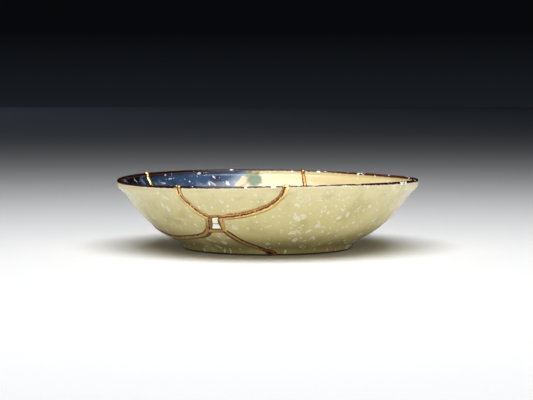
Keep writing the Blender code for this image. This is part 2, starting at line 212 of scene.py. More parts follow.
class DishSizes(bpy.types.PropertyGroup):
    """The dish's own sizes."""
    rim_radius: length_property("Rim Radius", "From the axis to the middle of the lip's outer side", 0.0910)
    rim_height: length_property("Rim Height", "From the table to the lip", 0.0422)
    base_wall: length_property("Base Wall", "Thickness in the middle of the base", 0.0038)
    lip_wall: length_property("Lip Wall", "Thickness just below the rounded lip", 0.0024)
    flat_radius: length_property("Flat Radius", "Radius of the flat middle of the base", 0.0380)
    join_radius: length_property("Join Radius", "Radius at which the foot runs into the wall", 0.0560)
    join_height: length_property("Join Height", "Height at which the foot runs into the wall", 0.0055)
    foot_radius: length_property("Foot Radius", "Outer radius of the foot ring", 0.0515)
    foot_width: length_property("Foot Width", "Width of the foot ring", 0.0070)
    foot_side: length_property("Foot Side", "Height of the upright part of the foot's outer side", 0.0014)
    foot_edge: length_property("Foot Edge", "Height to which the foot's lower edge is worn round", 0.0005)
    foot_worn: length_property("Foot Worn", "How far in the foot's worn edge starts", 0.0009)
    foot_worn_top: length_property("Foot Worn Top", "How far in the worn edge is at its top", 0.0003)
    foot_recess: length_property("Foot Recess", "Height of the base's underside over the table", 0.0022)
    foot_draft: length_property("Foot Draft", "How far the foot's inner side leans", 0.0009)
    lip_warp: length_property("Lip Warp", "How much two opposite sides of the lip stand up", 0.0008)
    waviness: length_property("Waviness", "Depth of the hand-thrown unevenness of the wall", 0.00007)
    nick_depth: length_property("Nick Depth", "Depth of the worn nicks in the lip", 0.00035)
    mesh_spacing: length_property("Mesh Spacing", "Distance between the points of the wall's mesh", 0.0013)


class SeamSizes(bpy.types.PropertyGroup):
    """The sizes of the lacquer joints and of the gold bead on them."""
    joint_width: length_property("Joint Width", "Width of the lacquer between two shards", 0.0009)
    half_width: length_property("Half Width", "From the middle of the bead to its edge", 0.00255)
    widening: length_property("Widening", "Length over which a bead gets its full width", 0.006)
    rise: length_property("Rise", "Height of the bead over the glaze", 0.00075)
    sink: length_property("Sink", "How deep the bead's underside lies in the glaze", 0.0003)
    groove: length_property("Groove", "Depth of the deepest groove along the bead", 0.00032)
    chip_rise: length_property("Chip Rise", "Height of the gold over the filled chip", 0.00030)
    chip_border: length_property("Chip Border", "Width over which the bead falls to the filled chip", 0.0006)
    mesh_spacing: length_property("Mesh Spacing", "Distance between the points of the seam's mesh", 0.00042)


class GlazeColours(bpy.types.PropertyGroup):
    """The colours of the glazes, of the painting and of the clay."""
    celadon: colour_property("Celadon", "Grey-green glaze outside", "CBC088")
    celadon_pale: colour_property("Pale Celadon", "The glaze where it ran thin, towards the lip", "DAD09E")
    # Deep celadon also paints the shade on the low wall, where the outer glaze turns to it towards the foot
    celadon_deep_and_foot_shade: colour_property("Deep Celadon", "The glaze where it pooled, towards the foot", "8C7F49")
    fleck: colour_property("Fleck", "Whitish flecks in the outer glaze", "E3E0D0")
    spatter: colour_property("Spatter", "White spatter on the blue", "F2F4F4")
    # The lip's dark colour also paints the contact shadow along the foot's lower edge
    lip_dark_and_foot_shadow: colour_property("Lip", "Iron brown line along the lip", "24140F")
    lip_rust: colour_property("Lip Rust", "Reddish edge of the lip's line", "5E3018")
    lip_pale: colour_property("Below The Lip", "Pale line under the lip", "F6E9D6")
    # White dashes along the lip: partly worn chips, partly painted highlights
    lip_worn_and_highlight: colour_property("Worn Lip", "White where the lip is worn", "FFFEF8")
    # Night blue also paints the shade on the far left of the inside
    night: colour_property("Night Blue", "Darkest blue of the painted side", "0B131F")
    navy: colour_property("Navy", "Blue of the painted side", "3C5070")
    haze: colour_property("Haze", "Light blue next to the shore line", "7E93AA")
    cream: colour_property("Cream", "The inside's cream side", "E7D9AE")
    sand: colour_property("Sand", "Tan band along the shore line", "DCC79A")
    rose: colour_property("Rose", "Thin pinkish line along the sand", "C79C84")
    moss: colour_property("Moss", "Soft green spots", "4E7049")
    straw: colour_property("Straw", "Yellower cream towards the right", "E3CE93")
    clay: colour_property("Clay", "Bare fired clay under the foot", "8F745A")


class GoldColours(bpy.types.PropertyGroup):
    """The colours of the gold powder and of the lacquer under it."""
    gold: colour_property("Gold", "Burnished gold powder", "FFDA92")
    gold_deep: colour_property("Deep Gold", "Thinner gold powder over lacquer", "C07E3C")
    lacquer: colour_property("Lacquer", "Red-brown lacquer that shows beside the gold", "4A1804")
    # The filled chip is gold: this near-white colour paints its bright reflection
    chip: colour_property("White Gold", "White-gold face of the filled chip", "FFFEF4")
    # A painted greenish reflection at the upper end of the filled chip
    chip_reflection_tint: colour_property("Greenish Gold", "Yellower gold at the upper end of the filled chip", "F3F2C4")


class StageSettings(bpy.types.PropertyGroup):
    """The floor, the lights and the camera."""
    floor: colour_property("Floor", "Matt pale floor", "E9E9EA")
    dark: colour_property("Background", "Dark room behind the floor", "0B0D10")
    floor_size: length_property("Floor Size", "Side of the square floor", 14.0)
    key_width: length_property("Key Width", "Width of the soft light overhead", 1.0)
    key_depth: length_property("Key Depth", "Depth of the soft light overhead", 0.6)
    key_height: length_property("Key Height", "Height of the soft light overhead", 0.8)
    key_power: power_property("Key Power", "Power of the soft light overhead", 10.6)
    back_power: power_property("Back Power", "Power of the far light that lifts the floor behind", 12.5)
    back_colour: colour_property("Back Colour", "Bluish colour of the far light", "D3E5FF")
    left_fill_power: power_property("Left Fill Power", "Power of the weak light at the front left", 8.0)
    right_fill_power: power_property("Right Fill Power", "Power of the weak light at the front right", 12.5)
    lens: FloatProperty(name="Lens", description="Focal length on a 36 mm sensor", default=107.87, min=1.0,
                        unit="CAMERA")


# Geometry


def smooth_step(values):
    """Runs smoothly from 0 to 1 as the values do."""
    share = np.clip(values, 0.0, 1.0)
    return share * share * (3.0 - 2.0 * share)


def unevenness(spots, spacing, turn):
    """A smooth surface of hollows and swellings, about a spacing apart, from -1 to 1 over the map."""
    total = np.zeros(len(spots))
    for i, heading in enumerate(WAVE_HEADINGS):
        # Each wave is longer than the one before
        wave = 2.0 * math.pi / (spacing * (0.8 + 0.17 * i))
        across = spots[:, 0] * math.cos(heading + turn) + spots[:, 1] * math.sin(heading + turn)
        total += np.sin(across * wave + 1.7 * i + 2.3 * turn)
    return total / len(WAVE_HEADINGS)


def lumpy(spots, lumps):
    """A factor near 1 that changes over the map with the lumps, each of them (share, spacing, turn)."""
    return 1.0 + sum(share * unevenness(spots, spacing, turn) for share, spacing, turn in lumps)


def hermite(start, end, start_heading, end_heading, steps):
    """Points of a smooth arc between two points, leaving and arriving at the headings, without the last."""
    start, end = np.array(start), np.array(end)
    chord = np.linalg.norm(end - start)
    leave = chord * np.array((math.cos(start_heading), math.sin(start_heading)))
    arrive = chord * np.array((math.cos(end_heading), math.sin(end_heading)))
    t = np.linspace(0.0, 1.0, steps, endpoint=False)[:, None]
    return (
        (2 * t**3 - 3 * t**2 + 1) * start
        + (t**3 - 2 * t**2 + t) * leave
        + (3 * t**2 - 2 * t**3) * end
        + (t**3 - t**2) * arrive
    )


class Section:
    """The dish's cross-section: the outer and the inner face by the distance along the wall."""

    CURVE_STEPS = 40
    FILLET_STEPS = 7
    DENSE_STEPS = 1600
    # Half of the length over which a direction is measured, on the body line and on the foot
    BODY_STEP = 0.0002
    FOOT_STEP = 0.0004
    # Distance between the hollows of the thrown wall, by what share they are deeper inside and less deep
    # outside, and over what length they fade out at the lip and at the foot
    WAVE_SPACING = 0.019
    WAVE_CHANGE = 0.6
    WAVE_FADE = 0.006
    # How far down from the tip a nick reaches
    NICK_REACH = 0.0012
    # Nicks worn into the lip: azimuth in degrees and half width in mm
    NICKS = ((191.0, 1.4), (207.0, 0.9), (223.0, 1.1), (262.0, 1.6), (268.5, 0.8), (281.0, 1.0), (287.0, 2.2),
             (292.0, 1.2), (304.0, 1.8), (322.0, 1.3), (338.0, 0.9), (352.0, 1.2), (18.0, 1.2), (49.0, 1.6),
             (86.0, 1.0), (118.0, 1.5), (137.0, 0.9), (169.0, 1.3))

    def __init__(self, sizes):
        self.sizes = sizes
        self.trace_body()
        self.place_foot()
        self.lip_half = sizes.lip_wall / 2.0
        self.lip_start = self.body_length - self.lip_half
        self.length = self.lip_start + self.lip_half * math.pi / 2.0
        self.tabulate()

    def trace_body(self):
        """The outer face as it would be without the foot."""
        sizes = self.sizes
        knots = [(0.0, sizes.foot_recess, 0.0), (sizes.flat_radius, sizes.foot_recess, 0.0)]
        run = sizes.rim_radius - sizes.join_radius
        rise = sizes.rim_height - sizes.join_height
        for out, up, heading in WALL_SHAPE:
            place = (sizes.join_radius + out * run, sizes.join_height + up * rise)
            knots.append((*place, math.radians(heading)))
        pieces = []
        for (r0, z0, h0), (r1, z1, h1) in zip(knots, knots[1:]):
            pieces.append(hermite((r0, z0), (r1, z1), h0, h1, self.CURVE_STEPS))
        pieces.append(np.array([knots[-1][:2]]))
        self.body = np.vstack(pieces)
        steps = np.linalg.norm(np.diff(self.body, axis=0), axis=1)
        self.body_run = np.concatenate(([0.0], np.cumsum(steps)))
        self.body_length = self.body_run[-1]

    def along(self, radius):
        """The distance along the wall at which the body line reaches a radius."""
        return float(np.interp(radius, self.body[:, 0], self.body_run))

    def place_foot(self):
        """The foot ring's outline, from the recess inside it to where its outer side joins the wall."""
        sizes = self.sizes
        inner_edge = sizes.foot_radius - sizes.foot_width
        recess_edge = inner_edge - sizes.foot_draft
        outline = [
            (recess_edge, sizes.foot_recess),
            (inner_edge, 0.0),
            (sizes.foot_radius - sizes.foot_worn, 0.0),
            (sizes.foot_radius - sizes.foot_worn_top, sizes.foot_edge),
            (sizes.foot_radius, sizes.foot_side),
        ]
        fillet = hermite((sizes.foot_radius, sizes.foot_side), (sizes.join_radius, sizes.join_height),
                         FOOT_HEADING, math.radians(WALL_SHAPE[0][2]), self.FILLET_STEPS)
        outline.extend((float(r), float(z)) for r, z in fillet[1:])
        outline.append((sizes.join_radius, sizes.join_height))
        self.foot = np.array(outline)
        self.foot_rings = [self.along(r) for r, z in outline]
        # The bare ring runs from the recess to the upper end of the foot's upright side
        self.bare_from = self.foot_rings[0]
        self.bare_to = self.foot_rings[4]
        self.foot_end = self.foot_rings[-1]

    def tabulate(self):
        sizes = self.sizes
        run = np.linspace(0.0, self.length, self.DENSE_STEPS)
        run = np.unique(np.concatenate((run, self.foot_rings, [self.lip_start])))
        turn = np.clip((run - self.lip_start) / self.lip_half, 0.0, math.pi / 2.0)
        b = np.where(run > self.lip_start, self.lip_start + self.lip_half * np.sin(turn), run)
        line = self.point_at(self.body_run, self.body, b)
        ahead = self.direction(self.body_run, self.body, b, self.BODY_STEP)
        tangent = ahead / np.linalg.norm(ahead, axis=1)[:, None]
        normal = np.stack((-tangent[:, 1], tangent[:, 0]), axis=1)
        thinning = np.clip(b / self.lip_start, 0.0, 1.0) ** 2
        wall = sizes.base_wall + (sizes.lip_wall - sizes.base_wall) * thinning
        keep, bend = np.cos(turn)[:, None], np.sin(turn)[:, None]
        middle = line + normal * wall[:, None] / 2.0
        outer = middle - normal * wall[:, None] / 2.0 * keep
        inner = middle + normal * wall[:, None] / 2.0 * keep
        outer_normal = -normal * keep + tangent * bend
        inner_normal = normal * keep + tangent * bend
        in_foot = (run >= self.bare_from) & (run <= self.foot_end)
        outer[in_foot, 1] = np.interp(outer[in_foot, 0], self.foot[:, 0], self.foot[:, 1])
        lean = self.direction(run, outer, run[in_foot], self.FOOT_STEP)
        lean /= np.linalg.norm(lean, axis=1)[:, None]
        outer_normal[in_foot] = np.stack((lean[:, 1], -lean[:, 0]), axis=1)
        self.run = run
        self.faces = {OUTER: (outer, outer_normal), INNER: (inner, inner_normal)}

    @staticmethod
    def point_at(run, line, where):
        return np.stack((np.interp(where, run, line[:, 0]), np.interp(where, run, line[:, 1])), axis=1)

    def direction(self, run, line, where, step):
        """From a step before each place on a line to a step after it."""
        return self.point_at(run, line, where + step) - self.point_at(run, line, where - step)

    def wave(self, spots, run, side):
        """How far the hand-thrown face stands off the even one."""
        depth = self.sizes.waviness * unevenness(spots, self.WAVE_SPACING, 0.4 * side)
        depth = depth * (1.0 + self.WAVE_CHANGE * side)
        fade = smooth_step((self.length - run) / self.WAVE_FADE)
        if side == OUTER:
            fade = fade * smooth_step((run - self.foot_end) / self.WAVE_FADE)
        return depth * fade

    def nick(self, azimuth, run):
        """How far the lip is worn down."""
        depth = np.zeros(len(run))
        for where, half_width in self.NICKS:
            apart = np.angle(np.exp(1j * (azimuth - math.radians(where)))) * self.sizes.rim_radius
            depth += np.exp(-(apart * MM_PER_M / half_width) ** 4)
        near_tip = smooth_step(1.0 - (self.length - run) / self.NICK_REACH)
        return self.sizes.nick_depth * np.clip(depth, 0.0, 1.0) * near_tip

    def place(self, spots, side, lift):
        """Where points of the map lie in space, lifted off the outer or the inner face."""
        sizes = self.sizes
        run = np.hypot(spots[:, 0], spots[:, 1])
        azimuth = np.arctan2(spots[:, 1], spots[:, 0])
        line, normal = self.faces[side]
        lean = self.point_at(self.run, normal, run)
        spot = self.point_at(self.run, line, run) + lean * (lift + self.wave(spots, run, side))[:, None]
        r, z = spot[:, 0], spot[:, 1]
        share = np.clip((r - sizes.join_radius) / (sizes.rim_radius - sizes.join_radius), 0.0, None)
        warp = sizes.lip_warp * share**2 * np.cos(2.0 * (azimuth - WARP_LOW_AZIMUTH))
        z = z - warp - self.nick(azimuth, run)
        return np.column_stack((r * np.cos(azimuth), r * np.sin(azimuth), z))

    def at_lip(self, spots):
        """Which points of the map lie on the tip of the lip."""
        return np.hypot(spots[:, 0], spots[:, 1]) > self.length - TIP_MARGIN


def on_map(section, azimuth, share):
    """The map point at an azimuth in degrees and a share of the way from the centre to the lip."""
    run = share * section.length
    return np.array((run * math.cos(math.radians(azimuth)), run * math.sin(math.radians(azimuth))))


def crack_line(section, knots, spacing):
    """A smooth crack through its points, divided evenly."""
    fine_steps = 24
    knots = [on_map(section, *knot) for knot in knots]
    ends = [2 * knots[0] - knots[1]] + knots + [2 * knots[-1] - knots[-2]]
    t = np.linspace(0.0, 1.0, fine_steps, endpoint=False)[:, None]
    fine = []
    for before, start, end, after in zip(ends, ends[1:], ends[2:], ends[3:]):
        fine.append(0.5 * (
            2 * start + (end - before) * t + (2 * before - 5 * start + 4 * end - after) * t**2
            + (3 * start - before - 3 * end + after) * t**3
        ))
    fine = np.vstack(fine + [knots[-1][None, :]])
    lengths = np.concatenate(([0.0], np.cumsum(np.linalg.norm(np.diff(fine, axis=0), axis=1))))
    where = np.linspace(0.0, lengths[-1], max(3, int(round(lengths[-1] / spacing)) + 1))
    return np.stack((np.interp(where, lengths, fine[:, 0]), np.interp(where, lengths, fine[:, 1])), axis=1)


class Outline:
    """A closed outline on the map, anticlockwise, that remembers which of its edges are cracks."""

    def __init__(self, points, cracked):
        self.points = np.array(points)
        self.cracked = np.array(cracked)

    def inset(self, distance):
        """The outline with its cracked edges moved inwards."""
        edge = np.roll(self.points, -1, axis=0) - self.points
        away = np.stack((-edge[:, 1], edge[:, 0]), axis=1) / np.linalg.norm(edge, axis=1)[:, None]
        shift = np.where(self.cracked, distance, 0.0)
        moved = []
        for i, point in enumerate(self.points):
            n0, n1 = away[i - 1], away[i]
            if abs(n0[0] * n1[1] - n0[1] * n1[0]) < 1e-3:
                moved.append(point + n0 * max(shift[i - 1], shift[i]))
            else:
                moved.append(point + np.linalg.solve(np.array((n0, n1)), np.array((shift[i - 1], shift[i]))))
        return np.array(moved)

    def crack_edges(self):
        """The start and the end of each cracked edge."""
        following = np.roll(self.points, -1, axis=0)
        return self.points[self.cracked], following[self.cracked]


def shard_outlines(section, spacing):
    """The four shards on the map, and the chip between them, up to the middle of each crack."""
    lines = {name: crack_line(section, knots, spacing) for name, knots in CRACKS.items()}
    outlines = {}
    for name, (opens, closes) in SHARDS.items():
        start, end = CRACKS[opens][-1][0], CRACKS[closes][-1][0]
        end += 360.0 * (end <= start)
        count = int(round(math.radians(end - start) * section.length / spacing))
        rim = [on_map(section, start + (end - start) * i / count, 1.0) for i in range(1, count)]
        points = [lines[opens][-1]] + rim + list(lines[closes][::-1]) + list(lines[opens][:-1])
        outlines[name] = Outline(points, [i > len(rim) for i in range(len(points))])
    corners = [lines[name][0] for name in ("front_left", "left", "base", "front_right")]
    chip = Outline(corners, [True] * 4)
    for i, name in enumerate(("chip_left", "chip_back", "chip_right", "chip_front")):
        lines[name] = np.array((corners[i], corners[(i + 1) % 4]))
    return outlines, chip, lines


def inside(outline, spots):
    """Which points of the map lie in a closed outline."""
    found = np.zeros(len(spots), bool)
    x, y = spots[:, 0], spots[:, 1]
    for (x0, y0), (x1, y1) in zip(outline, np.roll(outline, -1, axis=0)):
        if y0 == y1:
            continue
        crosses = ((y0 > y) != (y1 > y)) & (x < x0 + (y - y0) * (x1 - x0) / (y1 - y0))
        found ^= crosses
    return found


def distance_to(starts, ends, spots):
    """The distance from each point of the map to the nearest of the edges."""
    best = np.full(len(spots), math.inf)
    for start, end in zip(starts, ends):
        run = end - start
        t = np.clip((spots - start) @ run / (run @ run), 0.0, 1.0)
        best = np.minimum(best, np.linalg.norm(spots - start - t[:, None] * run, axis=1))
    return best


def follow(lines, spots):
    """For each point of the map, the nearest line's number, the distance along it and the distance off it.

    The distance off a line is positive on the line's upper side.
    """
    best = np.full(len(spots), math.inf)
    which = np.zeros(len(spots), int)
    along = np.zeros(len(spots))
    off = np.zeros(len(spots))
    for number, (name, line) in enumerate(lines.items()):
        upper = 1 if name in LEFT_IS_UPPER else -1
        covered = 0.0
        for start, end in zip(line, line[1:]):
            run = end - start
            length = math.hypot(*run)
            away = spots - start
            t = np.clip(away @ run / length**2, 0.0, 1.0)
            gap = np.hypot(away[:, 0] - t * run[0], away[:, 1] - t * run[1])
            side = upper * (run[0] * away[:, 1] - run[1] * away[:, 0])
            closer = gap < best
            best[closer] = gap[closer]
            which[closer] = number
            along[closer] = covered + t[closer] * length
            off[closer] = np.where(side >= 0.0, gap, -gap)[closer]
            covered += length
    return which, along, off


def ring_points(run, spacing):
    """Evenly spaced points at one distance along the wall."""
    # Each ring is turned, so that the points of two don't line up
    turn = run * 700.0
    count = max(6, int(round(2.0 * math.pi * run / spacing)))
    azimuth = 2.0 * math.pi * np.arange(count) / count + turn
    return np.stack((run * np.cos(azimuth), run * np.sin(azimuth)), axis=1)


def divide(loops, spare):
    """Triangles of the map that keep the closed loops' edges and have the spare points as corners too."""
    points, edges = [], []
    for loop in loops:
        first = len(points)
        points.extend(loop)
        edges.extend((first + i, first + (i + 1) % len(loop)) for i in range(len(loop)))
    points.extend(spare)
    made = delaunay_2d_cdt([Vector(point) for point in points], edges, [], 0, 1e-7, False)
    return np.array([tuple(point) for point in made[0]]), np.array([tuple(face) for face in made[2]])


def layered_mesh(name, at_lip, levels, cells):
    """A closed mesh over cells of the map, with where each of its points comes from as (map point, level).

    Each level holds a place in space for every point of the map, from the outside of the dish to the inside.
    Each cell is a triangle of the map with the slabs between neighbouring levels that it fills. At the lip
    the outer and the inner levels meet. The faces outside get the first material, those inside the second,
    and walls the third.
    """
    count = len(levels)
    keys, sources, faces, kinds = {}, [], [], []

    def vertex(index, level):
        if at_lip[index]:
            level = min(level, count - 1 - level)
        key = (index, level)
        if key not in keys:
            keys[key] = len(sources)
            sources.append(key)
        return keys[key]

    def add_face(corners, kind):
        corners = [corner for i, corner in enumerate(corners) if corner != corners[i - 1]]
        if len(corners) > 2:
            faces.append(corners)
            kinds.append(kind)

    filled = {}
    for triangle, slabs in cells:
        for a, b in zip(triangle, triangle[1:] + triangle[:1]):
            filled[(a, b)] = slabs
    for triangle, slabs in cells:
        for slab in slabs:
            if slab - 1 not in slabs:
                kind = OUTER_MATERIAL if slab == 0 else WALL_MATERIAL
                add_face([vertex(i, slab) for i in reversed(triangle)], kind)
            if slab + 1 not in slabs:
                kind = INNER_MATERIAL if slab == count - 2 else WALL_MATERIAL
                add_face([vertex(i, slab + 1) for i in triangle], kind)
        for a, b in zip(triangle, triangle[1:] + triangle[:1]):
            if at_lip[a] and at_lip[b]:
                continue
            for slab in set(slabs) - set(filled.get((b, a), ())):
                wall = [vertex(a, slab), vertex(b, slab), vertex(b, slab + 1), vertex(a, slab + 1)]
                add_face(wall, WALL_MATERIAL)
    sources = np.array(sources)
    places = np.array([levels[level][index] for index, level in sources])
    mesh = bpy.data.meshes.new(name)
    mesh.from_pydata(places.tolist(), [], faces)
    mesh.polygons.foreach_set("material_index", kinds)
    mesh.validate()
    return mesh, sources


def store(mesh, name, values):
    """Keeps three numbers for each point of a mesh, for its material to read."""
    layer = mesh.attributes.new(name, "FLOAT_VECTOR", "POINT")
    layer.data.foreach_set("vector", np.asarray(values, np.float32).ravel())


def add_piece(context, name, mesh, materials, node):
    """Puts a piece in the scene in the place of a node of the frame."""
    for material in materials:
        mesh.materials.append(material)
    mesh.shade_smooth()
    mesh.set_sharp_from_angle(angle=SHARP_ANGLE)
    piece = bpy.data.objects.new(name, mesh)
    context.scene.collection.objects.link(piece)
    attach(piece, "root")
    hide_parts(node)
    return piece


def lip_stations(section):
    """Distances along the wall from the start of the lip's round to its tip."""
    step = (section.length - section.lip_start) / LIP_STATIONS
    return [section.lip_start + step * i for i in range(LIP_STATIONS + 1)]


def wall_stations(section, spacing):
    """Distances along the wall at which the shards have rings of points, each with its own spacing."""
    base = [(section.bare_from * i / BASE_STATIONS, BASE_SPACING) for i in range(1, BASE_STATIONS)]
    foot = [(ring, FOOT_SPACING) for ring in section.foot_rings]
    for before, after in zip(section.foot_rings, section.foot_rings[1:]):
        if after - before > FOOT_GAP:
            foot.append(((before + after) / 2.0, FOOT_GAP_SPACING))
    start, end = section.foot_end, section.lip_start
    count = int(round((end - start) / spacing))
    wall = [(start + (end - start) * i / count, spacing) for i in range(1, count)]
    lip = [(station, LIP_SPACING) for station in lip_stations(section)[:-1]]
    return base + foot + wall + lip


def add_shard(context, section, sizes, gap, name, outline, materials):
    """One glazed shard of the dish."""
    edge = outline.inset(gap)
    starts, ends = outline.crack_edges()
    spare = [ring_points(run, spacing) for run, spacing in wall_stations(section, sizes.mesh_spacing)]
    spare = np.vstack([np.zeros((1, 2))] + spare)
    spare = spare[inside(edge, spare)]
    spare = spare[distance_to(starts, ends, spare) > gap + EDGE_MARGIN]
    spots, triangles = divide([edge], spare)
    middles = spots[triangles].mean(axis=1)
    at_lip = section.at_lip(spots)
    kept = triangles[inside(edge, middles) & ~at_lip[triangles].all(axis=1)]
    flat = np.zeros(len(spots))
    levels = [section.place(spots, OUTER, flat), section.place(spots, INNER, flat)]
    mesh, sources = layered_mesh(name, at_lip, levels, [(tuple(t), (0,)) for t in kept.tolist()])
    where = spots[sources[:, 0]]
    tip = section.length - np.hypot(where[:, 0], where[:, 1])
    store(mesh, "glaze_map", np.column_stack((where, tip)) * MM_PER_M)
    return add_piece(context, name + "_glazed", mesh, materials, name)


def bead_form(section, sizes, spots, lines, patch):
    """The bead over points of the map: how far each face stands off the glaze, and what its gold shows.

    What it shows is where the point lies across the bead, the place and the depth of the groove, the lacquer
    along the upper and the lower edge, and how bright the gold is as a painted reflection.
    """
    which, along, off = follow(lines, spots)
    lengths = np.array([np.linalg.norm(np.diff(line, axis=0), axis=1).sum() for line in lines.values()])
    share = along / lengths[which]
    starts = np.array([BEAD_STARTS[name] for name in lines])[which]
    # The beads along the chip's sides keep their width
    widened = np.array([not name.startswith("chip") for name in lines])[which]
    half = sizes.half_width * (starts + (1.0 - starts) * widened * smooth_step(along / sizes.widening))
    half = half * lumpy(spots, WIDTH_LUMPS)
    rise = sizes.rise * lumpy(spots, HEIGHT_LUMPS)
    edge = sizes.sink * EDGE_SINK
    edges = distance_to(patch, np.roll(patch, -1, axis=0), spots)
    within = np.where(inside(patch, spots), edges, -edges)
    in_chip = inside(chip_corners(lines), spots)
    fall = smooth_step(within / sizes.chip_border)
    height, spacing, turn = CHIP_LUMPS
    low = sizes.chip_rise + height * unevenness(spots, spacing, turn)
    above_foot = np.hypot(spots[:, 0], spots[:, 1]) - section.foot_end
    near_foot = smooth_step((FOOT_CHANGE_START - above_foot) / FOOT_CHANGE_LENGTH)
    along_base = np.array([name == "base" for name in lines])[which]
    inside_width = np.where(along_base, INSIDE_BASE_WIDTH, INSIDE_WIDTH)
    made = {}
    for face, (side, width) in enumerate(((OUTER, 1.0 - FOOT_NARROWING * near_foot), (INNER, inside_width))):
        values = np.array([BEADS[name][face] for name in lines])[which]
        from_place, to_place, depth, upper, lower, over, under = values.T
        across = off / (half * width)
        crown = np.where(in_chip, 1.0, np.clip(1.0 - across**2, 0.0, 1.0) ** CROWN_POWER)
        if side == OUTER:
            # Near the foot more lacquer shows along the lower edge and the gold is darker
            lower = lower + (1.0 - lower) * near_foot
            under = under * (1.0 - FOOT_DARKENING * near_foot)
            over = over * (1.0 - FOOT_DARKENING * near_foot)
        place = from_place + (to_place - from_place) * share
        groove = sizes.groove * depth * np.exp(-((across - place) / GROOVE_WIDTH) ** 2)
        lift = -edge + (rise + edge) * crown - groove
        painted_reflection = under + (over - under) * smooth_step((across - place) / REFLECTION_STEP + 0.5)
        made[side] = (
            lift * (1.0 - fall) + low * fall,
            np.column_stack((across, place, depth, upper, lower, painted_reflection)),
        )
    return made, along, within, np.abs(off)


def chip_corners(lines):
    """The chip's corners from its four sides."""
    return np.array([lines[name][0] for name in ("chip_left", "chip_back", "chip_right", "chip_front")])


def seam_spots(section, sizes, lines, chip):
    """Points of the map on which the seam's mesh has corners, besides those on its edges.

    They fill square cells along the lines, in staggered rows, and rings round the lip.
    """
    reach = sizes.half_width * SEAM_REACH
    joint = sizes.joint_width / 2.0
    pitch = sizes.mesh_spacing
    margin = pitch * SEAM_MARGIN
    # Wider than the reach, so that a line's cells and those round them cover all of it
    cell = reach * 1.5
    knots = np.floor(np.vstack(list(lines.values())) / cell).astype(int)
    near = {(x + i, y + j) for x, y in knots.tolist() for i in (-1, 0, 1) for j in (-1, 0, 1)}
    steps = int(math.ceil(cell / pitch))
    local = (np.arange(steps) + 0.5) * cell / steps
    x, y = np.meshgrid(local, local)
    x = x + (np.arange(steps) % 2)[:, None] * 0.5 * cell / steps
    block = np.stack((x.ravel(), y.ravel()), axis=1)
    grid = np.vstack([block + cell * np.array(place) for place in sorted(near)])
    # The rings take over a little below the lip's round
    grid = grid[np.hypot(grid[:, 0], grid[:, 1]) < section.lip_start - pitch * 0.3]
    grid = np.vstack([grid] + [ring_points(run, pitch) for run in lip_stations(section)])
    off = np.abs(follow(lines, grid)[2])
    clear = (np.abs(off - joint) > margin) & (off < reach - margin)
    return grid[np.where(inside(chip.points, grid), off > margin, clear)]


def add_seam(context, section, sizes, outlines, chip, lines, material):
    """The lacquer joints with their gold beads outside and inside, which meet over the lip.

    Under the foot ring there is no bead, so the dish stands on its shards.
    """
    joint = sizes.joint_width / 2.0
    wide = [outline.inset(sizes.half_width * SEAM_REACH) for outline in outlines.values()]
    narrow = [outline.inset(joint) for outline in outlines.values()]
    spots, triangles = divide(wide + narrow, seam_spots(section, sizes, lines, chip))
    at_lip = section.at_lip(spots)
    triangles = triangles[~at_lip[triangles].all(axis=1)]
    middles = spots[triangles].mean(axis=1)
    kept = ~np.any([inside(edge, middles) for edge in wide], axis=0)
    triangles, middles = triangles[kept], middles[kept]
    web = ~np.any([inside(edge, middles) for edge in narrow], axis=0)
    patch = np.array([on_map(section, *corner) for corner in PATCH])
    made, along, within, off = bead_form(section, sizes, spots, lines, patch)
    run = np.hypot(spots[:, 0], spots[:, 1])
    past_inner = smooth_step((run - section.bare_from + INNER_START) / INNER_FADE)
    before_outer = smooth_step((section.bare_to + OUTER_END - run) / OUTER_FADE)
    beaded = 1.0 - past_inner * before_outer
    hidden = np.where(off < joint * BARE_REACH, -BARE_SINK, -sizes.sink * EDGE_SINK)
    sunk = np.full(len(spots), -sizes.sink)
    levels = [
        section.place(spots, OUTER, made[OUTER][0] * beaded + hidden * (1.0 - beaded)),
        section.place(spots, OUTER, sunk),
        section.place(spots, INNER, sunk),
        section.place(spots, INNER, made[INNER][0]),
    ]
    cells = [(tuple(t), (0, 1, 2) if full else (0, 2)) for t, full in zip(triangles.tolist(), web.tolist())]
    mesh, sources = layered_mesh("gold_seam", at_lip, levels, cells)
    index, outside = sources[:, 0], sources[:, 1:] < 2
    looks = np.where(outside, made[OUTER][1][index], made[INNER][1][index])
    along, within = along[index] * MM_PER_M, within[index] * MM_PER_M
    from_waist = (run[index] - PATCH_WAIST * section.length) * MM_PER_M
    store(mesh, "seam_map", np.column_stack((along, looks[:, 0], within)))
    store(mesh, "seam_groove", np.column_stack((looks[:, 1:3], from_waist)))
    store(mesh, "seam_looks", looks[:, 3:])
    return add_piece(context, "gold_seam_bead", mesh, [material], "gold_seam")


# Materials

# Settings that many nodes share
SMOOTH = {"interpolation_type": "SMOOTHSTEP"}
FLAT = {"noise_dimensions": "2D"}
# How ragged the noise makes a fleck, and between which values its edge and the hole of a ring-shaped one are
# soft. The noise adds half of the raggedness on average, so the edge is where a fleck has its given size.
FLECK_RAGGED = 1.1
FLECK_EDGE = (1.75, 1.3)
FLECK_HOLE = (0.9, 1.25)
# How ragged the line along the lip is, in mm
LIP_RAGGED = 0.7
# The shore line of the painting, in mm: how far left of the middle it runs, how far it swings to each side,
# how long one radian of the swing is, and how deep in the dish the swing is nil
SHORE_LEFT = 28.0
SHORE_SWING = 21.0
SHORE_RADIAN = 26.0
SHORE_NIL = 88.0


